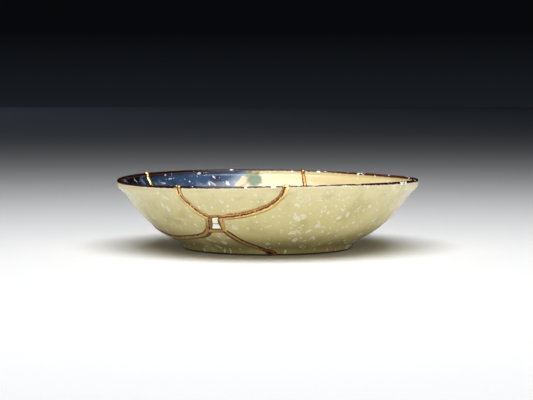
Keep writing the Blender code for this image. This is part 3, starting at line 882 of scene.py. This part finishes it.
def add_node(tree, kind, inputs=(), output=0, **settings):
    """Adds a node with its settings and links, and gives one of its outputs.

    The inputs are values for its first sockets, or for those that a dictionary names. A value is linked if it
    is another node's output, and set otherwise. A colour is set as an opaque one.
    """
    node = tree.nodes.new("ShaderNode" + kind)
    for name, value in settings.items():
        setattr(node, name, value)
    for socket, value in inputs.items() if isinstance(inputs, dict) else enumerate(inputs):
        if isinstance(value, bpy.types.NodeSocket):
            tree.links.new(value, node.inputs[socket])
        elif isinstance(value, Color):
            node.inputs[socket].default_value = (*value, 1.0)
        else:
            node.inputs[socket].default_value = value
    return node.outputs[output] if node.outputs else None


def empty_material(name):
    material = bpy.data.materials.new(name)
    material.use_nodes = True
    material.node_tree.nodes.clear()
    return material, material.node_tree


def finish_material(material, inputs):
    """Gives a material its shader with these inputs."""
    shader = add_node(material.node_tree, "BsdfPrincipled", inputs)
    add_node(material.node_tree, "OutputMaterial", (shader,))
    return material


def paint(tree, ground, coats):
    """Lays coats over a ground colour. Each grows to its strength while its value runs from start to end."""
    for value, start, end, strength, coat in coats:
        mask = add_node(tree, "MapRange", (value, start, end, 0.0, strength), **SMOOTH)
        ground = add_node(tree, "Mix", {0: mask, 6: ground, 7: coat}, output=2, data_type="RGBA")
    return ground


def flecks(tree, where, cell, length, width, share, ring=False):
    """A mask of flecks, one to a cell at most, turned at random. Cell, length and width are in mm.

    Each fleck has 0.5 to 1.2 times the given size. The share is that of the cells that have one.
    """
    cells = {"Vector": where, "Scale": 1.0 / cell, "Randomness": 1.0}
    chances = add_node(tree, "TexVoronoi", cells, output="Color", voronoi_dimensions="2D")
    middle = add_node(tree, "TexVoronoi", cells, output="Position", voronoi_dimensions="2D")
    heading, chance, bulk = [add_node(tree, "SeparateColor", (chances,), output=i) for i in range(3)]
    local = add_node(tree, "VectorMath", (where, middle), operation="SUBTRACT")
    angle = add_node(tree, "Math", (heading, math.tau), operation="MULTIPLY")
    turned = add_node(tree, "VectorRotate", {"Vector": local, "Angle": angle}, rotation_type="Z_AXIS")
    scaled = add_node(tree, "VectorMath", (turned, (2.0 / length, 2.0 / width, 0.0)), operation="MULTIPLY")
    reach = add_node(tree, "VectorMath", (scaled,), output="Value", operation="LENGTH")
    bulk = add_node(tree, "Math", (bulk, 0.7, 0.5), operation="MULTIPLY_ADD")
    reach = add_node(tree, "Math", (reach, bulk), operation="DIVIDE")
    ragged = add_node(tree, "TexNoise", {"Vector": where, "Scale": 1.4 / width, "Detail": 2.0}, **FLAT)
    reach = add_node(tree, "Math", (ragged, FLECK_RAGGED, reach), operation="MULTIPLY_ADD")
    chosen = add_node(tree, "Math", (chance, share), operation="LESS_THAN")
    mask = add_node(tree, "MapRange", (reach, *FLECK_EDGE, 0.0, chosen), **SMOOTH)
    if ring:
        mask = add_node(tree, "MapRange", (reach, *FLECK_HOLE, 0.0, mask), **SMOOTH)
    return mask


def glaze_coordinates(tree):
    """The point of the map in mm, and its parts: across, deep and the distance from the lip's tip."""
    where = add_node(tree, "Attribute", output="Vector", attribute_name="glaze_map")
    parts = [add_node(tree, "SeparateXYZ", (where,), output=i) for i in range(3)]
    flat = add_node(tree, "VectorMath", (where, (1.0, 1.0, 0.0)), operation="MULTIPLY")
    return flat, *parts


def lip_coats(tree, colours, where, across, tip, width, wider, pale_share, rusty):
    """The iron-brown line along the lip, its rusty edge and the pale line below it, with white dashes that
    are partly worn chips and partly painted highlights.

    The line has its width in mm at the front and back, and gets wider by some more towards the two sides of
    the dish. On a rusty lip it turns red-brown to the right.
    """
    # Spacings in mm of the line's raggedness and of the white dashes, worn chips and painted highlights
    fine, wear_and_highlight = [
        add_node(tree, "TexNoise", {"Vector": where, "Scale": 1.0 / spacing, "Detail": detail}, **FLAT)
        for spacing, detail in ((2.2, 2.0), (6.0, 3.0))
    ]
    left = add_node(tree, "MapRange", (across, 10.0, -70.0), **SMOOTH)
    sides = add_node(tree, "MapRange", (across, 40.0, 85.0, left, 1.0), **SMOOTH)
    tip = add_node(tree, "Math", (fine, LIP_RAGGED, tip), operation="MULTIPLY_ADD")
    tip = add_node(tree, "Math", (sides, -wider, tip), operation="MULTIPLY_ADD")
    worn = add_node(tree, "MapRange", (wear_and_highlight, 0.64, 0.66), **SMOOTH)
    # The far left of the lip has no white dashes, neither worn chips nor painted highlights
    worn = add_node(tree, "MapRange", (left, 0.90, 0.99, worn, 0.0), **SMOOTH)
    # The noise is one half on average, and so adds half of the raggedness
    width = width + LIP_RAGGED / 2.0
    line = add_node(tree, "MapRange", (tip, width, width - 0.35), **SMOOTH)
    red = add_node(tree, "Math", (line, rusty), operation="MULTIPLY")
    return [
        (tip, width + 0.65, width + 0.35, pale_share, colours.lip_pale),
        (tip, width + 0.35, width + 0.05, 1.0, colours.lip_rust),
        (tip, width, width - 0.35, 1.0, colours.lip_dark_and_foot_shadow),
        (across, 5.0, 40.0, red, colours.lip_rust),
        # White dashes: partly worn chips, partly painted highlights
        (tip, width + 0.7, width + 0.4, worn, colours.lip_worn_and_highlight),
    ]


def celadon_glaze(colours):
    """Celadon: a thick grey-green stoneware glaze, dipped and fired in a reducing kiln.

    It gives the eye a soft, slightly cloudy green-cream with whitish flecks under a wet gloss, paler where it
    ran thin near the lip, and darker towards the foot, which paints the shade on the low wall.
    """
    material, tree = empty_material("celadon_glaze_outside")
    where, across, _, tip = glaze_coordinates(tree)
    # Spacings in mm of the cloudy mottle, of the places where flecks gather, of the wisps within each fleck
    # and of the grain in the gloss
    mottle, gather, wisps, grain = [
        add_node(tree, "TexNoise", {"Vector": where, "Scale": 1.0 / spacing, "Detail": detail}, **FLAT)
        for spacing, detail in ((16.0, 3.0), (34.0, 1.0), (1.2, 3.0), (4.0, 2.0))
    ]
    colour = paint(tree, colours.celadon, [
        (tip, 20.0, 3.0, 1.0, colours.celadon_pale),
        # Darker towards the foot: painted shade on the low wall
        (tip, 30.0, 57.0, 1.0, colours.celadon_deep_and_foot_shade),
        (mottle, 0.45, 0.75, 0.3, colours.celadon_pale),
        (mottle, 0.5, 0.25, 0.25, colours.celadon_deep_and_foot_shade),
    ])
    # The flecks gather in places, most of all right of the front
    some = add_node(tree, "MapRange", (gather, 0.45, 0.65, 0.0, 0.5), **SMOOTH)
    near = add_node(tree, "VectorMath", (where, (33.0, -76.0, 0.0)), output="Value", operation="DISTANCE")
    gathered = add_node(tree, "MapRange", (near, 32.0, 12.0, some, 1.0), **SMOOTH)
    wisps = add_node(tree, "MapRange", (wisps, 0.3, 0.6, 0.35, 1.0))
    # Kinds of flecks: cell, length and width in mm, the share of the cells that have one, how many more have
    # one where they gather, how white they are, and whether they are rings
    for cell, length, width, share, more, strength, ring in (
        (9.5, 4.8, 3.0, 0.16, 0.45, 0.75, False),
        (11.0, 5.6, 3.0, 0.25, 0.25, 0.60, True),
        (8.0, 5.0, 0.9, 0.15, 0.35, 0.65, False),
        (5.2, 2.3, 1.6, 0.24, 0.40, 0.70, False),
        (3.0, 0.9, 0.75, 0.24, 0.30, 0.60, False),
    ):
        chance = add_node(tree, "Math", (gathered, more, share), operation="MULTIPLY_ADD")
        mask = flecks(tree, where, cell, length, width, chance, ring)
        mask = add_node(tree, "Math", (mask, wisps), operation="MULTIPLY")
        colour = paint(tree, colour, [(mask, 0.0, 1.0, strength, colours.fleck)])
    # The foot's upright side ends 58 mm from the lip's tip, and the bare clay under it runs on to 66 mm. A
    # dark line between the two is painted shadow: the contact shadow along the foot's lower edge.
    bare = add_node(tree, "MapRange", (tip, 58.1, 58.3), **SMOOTH)
    bare = add_node(tree, "MapRange", (tip, 66.3, 65.9, 0.0, bare), **SMOOTH)
    edge = add_node(tree, "MapRange", (tip, 57.78, 57.95), **SMOOTH)
    colour = paint(tree, colour, [
        (bare, 0.0, 1.0, 1.0, colours.clay),
        # Painted contact shadow along the foot's lower edge, in the lip's dark colour
        (tip, 59.8, 59.2, edge, colours.lip_dark_and_foot_shadow),
    ] + lip_coats(tree, colours, where, across, tip, width=1.25, wider=0.6, pale_share=0.8, rusty=0.0))
    gloss = add_node(tree, "Math", (grain, 0.1, 0.16), operation="MULTIPLY_ADD")
    rough = add_node(tree, "Math", (bare, 0.5, gloss), operation="MULTIPLY_ADD")
    return finish_material(material, {"IOR": 1.5, "Base Color": colour, "Roughness": rough})


def painted_glaze(colours):
    """Overglaze painting: blue and cream stoneware glazes that meet along a wavy shore line, fired glossy.

    It gives the eye a deep night blue with white spatter on one side and a warm cream with faint flecks on
    the other, with a sandy band, a thin rose line and soft green spots where they meet. The blue turns darker
    towards the far left, which paints the shade on that side.
    """
    material, tree = empty_material("painted_glaze_inside")
    where, across, deep, tip = glaze_coordinates(tree)
    # Spacings in mm of the wobble of the shore line, of the mottle and of the grain in the gloss
    wobble, mottle, grain = [
        add_node(tree, "TexNoise", {"Vector": where, "Scale": 1.0 / spacing, "Detail": detail}, **FLAT)
        for spacing, detail in ((9.0, 3.0), (11.0, 3.0), (4.0, 2.0))
    ]
    # How far a point is to the right of the shore line, in mm
    swing = (deep, 1.0 / SHORE_RADIAN, -SHORE_NIL / SHORE_RADIAN)
    swing = add_node(tree, "Math", swing, operation="MULTIPLY_ADD")
    swing = add_node(tree, "Math", (swing,), operation="SINE")
    shore = add_node(tree, "Math", (swing, -SHORE_SWING, SHORE_LEFT), operation="MULTIPLY_ADD")
    inland = add_node(tree, "Math", (across, shore), operation="ADD")
    inland = add_node(tree, "Math", (wobble, 5.0, inland), operation="MULTIPLY_ADD")
    # The white spatter gets rare towards the darkest blue, the painted shade on the far left
    lit = add_node(tree, "MapRange", (inland, -42.0, -18.0, 0.08, 0.38), **SMOOTH)
    blue = paint(tree, colours.navy, [
        # Night blue towards the far left: painted shade
        (inland, -16.0, -48.0, 1.0, colours.night),
        (mottle, 0.50, 0.30, 0.6, colours.night),
        (inland, -7.0, 2.5, 0.9, colours.haze),
        (mottle, 0.58, 0.72, 0.4, colours.haze),
        (flecks(tree, where, 8.5, 6.0, 1.3, lit), 0.0, 1.0, 0.5, colours.spatter),
        (flecks(tree, where, 7.0, 3.2, 2.2, lit), 0.0, 1.0, 0.7, colours.spatter),
        (flecks(tree, where, 3.0, 0.9, 0.75, lit), 0.0, 1.0, 0.45, colours.spatter),
    ])
    near_shore = add_node(tree, "MapRange", (inland, 24.0, 18.0, 0.0, 0.7), **SMOOTH)
    rose_line = add_node(tree, "MapRange", (inland, 9.9, 8.7, 0.0, 0.75), **SMOOTH)
    moss_spot = add_node(tree, "VectorMath", (where, (-9.5, 99.0, 0.0)), output="Value", operation="DISTANCE")
    moss_spot = add_node(tree, "Math", (wobble, 9.0, moss_spot), operation="MULTIPLY_ADD")
    cream = paint(tree, colours.cream, [
        (across, 22.0, 38.0, 0.6, colours.straw),
        (across, 38.0, 76.0, 0.4, colours.straw),
        (mottle, 0.5, 0.75, 0.35, colours.straw),
        (inland, 10.0, 7.0, 0.9, colours.sand),
        (inland, 6.9, 7.7, rose_line, colours.rose),
        (flecks(tree, where, 17.0, 11.0, 8.0, 0.7), 0.0, 1.0, near_shore, colours.moss),
        (moss_spot, 12.0, 8.0, 0.95, colours.moss),
        (flecks(tree, where, 7.0, 4.2, 1.6, 0.45), 0.0, 1.0, 0.55, colours.lip_pale),
    ])
    colour = paint(tree, blue, [
        (inland, 1.8, 3.2, 1.0, cream),
    ] + lip_coats(tree, colours, where, across, tip, width=1.35, wider=0.9, pale_share=0.0, rusty=0.7))
    gloss = add_node(tree, "Math", (grain, 0.1, 0.12), operation="MULTIPLY_ADD")
    return finish_material(material, {"IOR": 1.5, "Base Color": colour, "Roughness": gloss})


def broken_clay(colours):
    """Stoneware clay on the broken edges: grainy and matt, and hidden by the lacquer."""
    material, tree = empty_material("broken_stoneware_clay")
    where = glaze_coordinates(tree)[0]
    # The grain is half a mm
    grain = add_node(tree, "TexNoise", {"Vector": where, "Scale": 1.0 / 0.5, "Detail": 2.0}, **FLAT)
    colour = paint(tree, colours.clay, [(grain, 0.2, 0.8, 0.4, colours.cream)])
    return finish_material(material, {"Roughness": 0.85, "Base Color": colour})


def gold_on_lacquer(colours):
    """Gold powder sprinkled on wet lacquer, then burnished.

    It gives the eye a warm, softly mirroring bead with fine streaks along it, painted glints and a painted
    reflection that is brighter on one side of the groove. The red-brown lacquer shows in its groove, along
    its edges and where the powder is thin. The filled chip is gold, with its face painted near-white as its
    bright reflection.
    """
    material, tree = empty_material("burnished_gold_on_lacquer")
    parts = []
    for name in ("seam_map", "seam_groove", "seam_looks"):
        where = add_node(tree, "Attribute", output="Vector", attribute_name=name)
        parts += [add_node(tree, "SeparateXYZ", (where,), output=i) for i in range(3)]
    along, across, within, groove, depth, from_waist, upper, lower, painted_reflection = parts
    # Streaks lie about 0.6 mm apart across the bead and run some 5 mm along it. The grain is about 1 mm, and
    # the sway of the lacquer's edges some 2.5 mm long.
    stretched = add_node(tree, "CombineXYZ", (along, across))
    lengthwise = add_node(tree, "VectorMath", (stretched, (0.2, 4.0, 0.0)), operation="MULTIPLY")
    grainwise = add_node(tree, "VectorMath", (stretched, (1.0, 2.4, 0.0)), operation="MULTIPLY")
    streak, grain, sway = [
        add_node(tree, "TexNoise", {"Vector": way, "Scale": scale, "Detail": detail}, **FLAT)
        for way, scale, detail in ((lengthwise, 1.0, 3.0), (grainwise, 0.9, 2.0), (grainwise, 0.4, 2.0))
    ]
    # The sway moves the lacquer's edges by up to a fifth of the half width
    sway = add_node(tree, "Math", (sway, 0.4, -0.2), operation="MULTIPLY_ADD")
    placed = add_node(tree, "Math", (across, sway), operation="ADD")
    from_groove = add_node(tree, "Math", (placed, groove), operation="SUBTRACT")
    from_groove = add_node(tree, "Math", (from_groove,), operation="ABSOLUTE")
    core = add_node(tree, "MapRange", (grain, 0.28, 0.42, 0.0, depth), **SMOOTH)
    core = add_node(tree, "MapRange", (from_groove, 0.34, 0.12, 0.0, core), **SMOOTH)
    above = add_node(tree, "MapRange", (placed, 0.48, 0.68, 0.0, upper), **SMOOTH)
    # The more lacquer there is along the lower edge, the further up the bead it reaches
    low_from = add_node(tree, "Math", (lower, -0.7), operation="ADD")
    low_to = add_node(tree, "Math", (low_from, 0.22), operation="SUBTRACT")
    below = add_node(tree, "MapRange", (placed, low_from, low_to, 0.0, lower), **SMOOTH)
    rim = add_node(tree, "Math", (placed,), operation="ABSOLUTE")
    rim = add_node(tree, "MapRange", (rim, 0.84, 0.96, 0.0, 0.7), **SMOOTH)
    dark = above
    for other in (below, core, rim):
        dark = add_node(tree, "Math", (dark, other), operation="MAXIMUM")
    # On the filled chip there is lacquer only round its near-white face. The dark line over the face at its
    # waist, in the lacquer's colour, is a painted dark reflection.
    dark = add_node(tree, "MapRange", (within, 0.3, -0.2, 0.0, dark), **SMOOTH)
    border = add_node(tree, "MapRange", (within, 0.45, 0.2), **SMOOTH)
    border = add_node(tree, "MapRange", (within, -0.35, -0.05, 0.0, border), **SMOOTH)
    dark = add_node(tree, "Math", (dark, border), operation="MAXIMUM")
    patch = add_node(tree, "MapRange", (within, 0.15, 0.4), **SMOOTH)
    waist = add_node(tree, "Math", (grain, 1.6, from_waist), operation="MULTIPLY_ADD")
    waist = add_node(tree, "Math", (waist, 0.8), operation="SUBTRACT")
    waist = add_node(tree, "Math", (waist,), operation="ABSOLUTE")
    waist = add_node(tree, "MapRange", (waist, 0.42, 0.18, 0.0, patch), **SMOOTH)
    # The streaks and the painted reflection, brighter on one side of the groove, set where the gold is bright
    powder = add_node(tree, "Math", (streak, 1.5, painted_reflection), operation="MULTIPLY_ADD")
    reflection_tint = add_node(tree, "MapRange", (from_waist, 0.2, 1.4, 0.0, patch), **SMOOTH)
    colour = paint(tree, colours.gold_deep, [
        (powder, 0.82, 1.6, 1.0, colours.gold),
        # Painted glints: bright gold where the grain is high
        (grain, 0.56, 0.66, 0.8, colours.gold),
        (dark, 0.0, 1.0, 0.95, colours.lacquer),
        # The chip's near-white face: painted bright reflection
        (patch, 0.0, 1.0, 1.0, colours.chip),
        # Painted greenish reflection at the upper end of the chip
        (reflection_tint, 0.0, 1.0, 0.6, colours.chip_reflection_tint),
        # Painted dark reflection over the chip's waist
        (waist, 0.0, 1.0, 0.75, colours.lacquer),
    ])
    # Lacquer is half as metallic as the gold. The chip's face is not metallic, so that its near-white colour
    # shows as a painted bright reflection.
    metal = add_node(tree, "Math", (dark, -0.5, 1.0), operation="MULTIPLY_ADD")
    metal = add_node(tree, "Math", (metal, patch), operation="SUBTRACT", use_clamp=True)
    rough = add_node(tree, "Math", (grain, 0.24, 0.22), operation="MULTIPLY_ADD")
    return finish_material(material, {"Base Color": colour, "Metallic": metal, "Roughness": rough})


def matt_paper(colour):
    """Seamless background paper: plain, pale and matt."""
    material, _ = empty_material("matt_background_paper")
    return finish_material(material, {"Base Color": colour, "Roughness": 0.9})


def dark_room(colour):
    """A dark room, a little lighter just over the far edge of the floor."""
    world = bpy.data.worlds.new("dark_room")
    world.use_nodes = True
    tree = world.node_tree
    tree.nodes.clear()
    place = add_node(tree, "TexCoord", output="Generated")
    height = add_node(tree, "SeparateXYZ", (place,), output=2)
    strength = add_node(tree, "MapRange", (height, -0.02, 0.035, 3.6, 0.7))
    light = add_node(tree, "Background", (colour, strength))
    add_node(tree, "OutputWorld", (light,))
    return world


# Operators


class AddGlazedShards(bpy.types.Operator):
    """Add the four glazed shards of the dish in the place of the frame's shards"""
    bl_idname = "kintsugi.add_glazed_shards"
    bl_label = "Add Glazed Shards"

    def execute(self, context):
        scene = context.scene
        section = Section(scene.dish_sizes)
        outlines = shard_outlines(section, SHARD_CRACK_SPACING)[0]
        colours = scene.glaze_colours
        materials = [celadon_glaze(colours), painted_glaze(colours), broken_clay(colours)]
        gap = scene.seam_sizes.joint_width / 2.0 + JOINT_CLEARANCE
        for name, outline in outlines.items():
            add_shard(context, section, scene.dish_sizes, gap, name, outline, materials)
        return {"FINISHED"}


class AddGoldSeam(bpy.types.Operator):
    """Add the network of gold-dusted lacquer seams, with the filled chip, in the place of the frame's seam"""
    bl_idname = "kintsugi.add_gold_seam"
    bl_label = "Add Gold Seam"

    def execute(self, context):
        scene = context.scene
        section = Section(scene.dish_sizes)
        outlines, chip, lines = shard_outlines(section, SEAM_CRACK_SPACING)
        material = gold_on_lacquer(scene.gold_colours)
        add_seam(context, section, scene.seam_sizes, outlines, chip, lines, material)
        return {"FINISHED"}


class AddStage(bpy.types.Operator):
    """Add the pale floor, the soft lights, the dark room and the camera"""
    bl_idname = "kintsugi.add_stage"
    bl_label = "Add Stage"

    # Places in metres, widths and depths of the lights, and turns in degrees
    KEY_FORWARD = -0.24
    BACK_PLACE = (-3.6, 4.5, 4.0)
    BACK_SIZE = (2.0, 1.2)
    FILL_PLACE = (1.3, -1.3, 0.14)
    FILL_SIZE = (1.4, 0.24)
    FILL_TILT = 88.0
    FILL_TURN = 45.0
    CAMERA_PLACE = (-0.00076, -0.966, 0.0967)
    CAMERA_TILT = 85.968

    def execute(self, context):
        settings = context.scene.stage_settings
        half = settings.floor_size / 2.0
        corners = [(-half, -half, 0.0), (half, -half, 0.0), (half, half, 0.0), (-half, half, 0.0)]
        mesh = bpy.data.meshes.new("floor")
        mesh.from_pydata(corners, [], [(0, 1, 2, 3)])
        mesh.materials.append(matt_paper(settings.floor))
        floor = bpy.data.objects.new("floor", mesh)
        context.scene.collection.objects.link(floor)
        level = (0.0, 0.0, 0.0)
        self.add_light(context, "overhead_softbox", (0.0, self.KEY_FORWARD, settings.key_height), level,
                       (settings.key_width, settings.key_depth), settings.key_power)
        self.add_light(context, "back_wash", self.BACK_PLACE, level, self.BACK_SIZE, settings.back_power,
                       settings.back_colour)
        # The two fills stand low, so that they light the wall and hardly the floor
        out, forward, up = self.FILL_PLACE
        for name, side, power in (
            ("front_fill_left", -1.0, settings.left_fill_power),
            ("front_fill_right", 1.0, settings.right_fill_power),
        ):
            turn = (math.radians(self.FILL_TILT), 0.0, math.radians(side * self.FILL_TURN))
            self.add_light(context, name, (side * out, forward, up), turn, self.FILL_SIZE, power)
        context.scene.world = dark_room(settings.dark)
        camera = bpy.data.objects.new("camera", bpy.data.cameras.new("camera"))
        camera.data.lens = settings.lens
        camera.data.sensor_width = 36.0
        camera.data.clip_start = 0.01
        camera.location = self.CAMERA_PLACE
        camera.rotation_euler = (math.radians(self.CAMERA_TILT), 0.0, 0.0)
        context.scene.collection.objects.link(camera)
        context.scene.camera = camera
        # The photograph's greys and colours are taken as sRGB values, so no film curve bends them
        context.scene.view_settings.view_transform = "Standard"
        return {"FINISHED"}

    @staticmethod
    def add_light(context, name, place, turn, size, power, colour=(1.0, 1.0, 1.0)):
        data = bpy.data.lights.new(name, "AREA")
        data.shape = "RECTANGLE"
        data.size, data.size_y = size
        data.energy = power
        data.color = colour
        light = bpy.data.objects.new(name, data)
        light.location = place
        light.rotation_euler = turn
        light.visible_camera = False
        context.scene.collection.objects.link(light)


class KintsugiPanel(bpy.types.Panel):
    """Lists the dish's operators with their sizes and colours"""
    bl_idname = "VIEW3D_PT_kintsugi_dish"
    bl_label = "Kintsugi Dish"
    bl_space_type = "VIEW_3D"
    bl_region_type = "UI"
    bl_category = "Kintsugi Dish"

    def draw(self, context):
        scene = context.scene
        for operator, groups in (
            (AddGlazedShards, (scene.dish_sizes, scene.glaze_colours)),
            (AddGoldSeam, (scene.seam_sizes, scene.gold_colours)),
            (AddStage, (scene.stage_settings,)),
        ):
            box = self.layout.box()
            for group in groups:
                for name in group.__annotations__:
                    box.prop(group, name)
            box.operator(operator.bl_idname)


GROUPS = {
    "dish_sizes": DishSizes,
    "seam_sizes": SeamSizes,
    "glaze_colours": GlazeColours,
    "gold_colours": GoldColours,
    "stage_settings": StageSettings,
}
CLASSES = tuple(GROUPS.values()) + (AddGlazedShards, AddGoldSeam, AddStage, KintsugiPanel)


def register():
    for item in CLASSES:
        bpy.utils.register_class(item)
    for name, group in GROUPS.items():
        setattr(bpy.types.Scene, name, PointerProperty(type=group))


def unregister():
    for name in GROUPS:
        delattr(bpy.types.Scene, name)
    for item in reversed(CLASSES):
        bpy.utils.unregister_class(item)


def main():
    register()
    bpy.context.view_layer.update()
    bpy.ops.kintsugi.add_glazed_shards()
    bpy.ops.kintsugi.add_gold_seam()
    bpy.ops.kintsugi.add_stage()


if __name__ == "__main__":
    main()
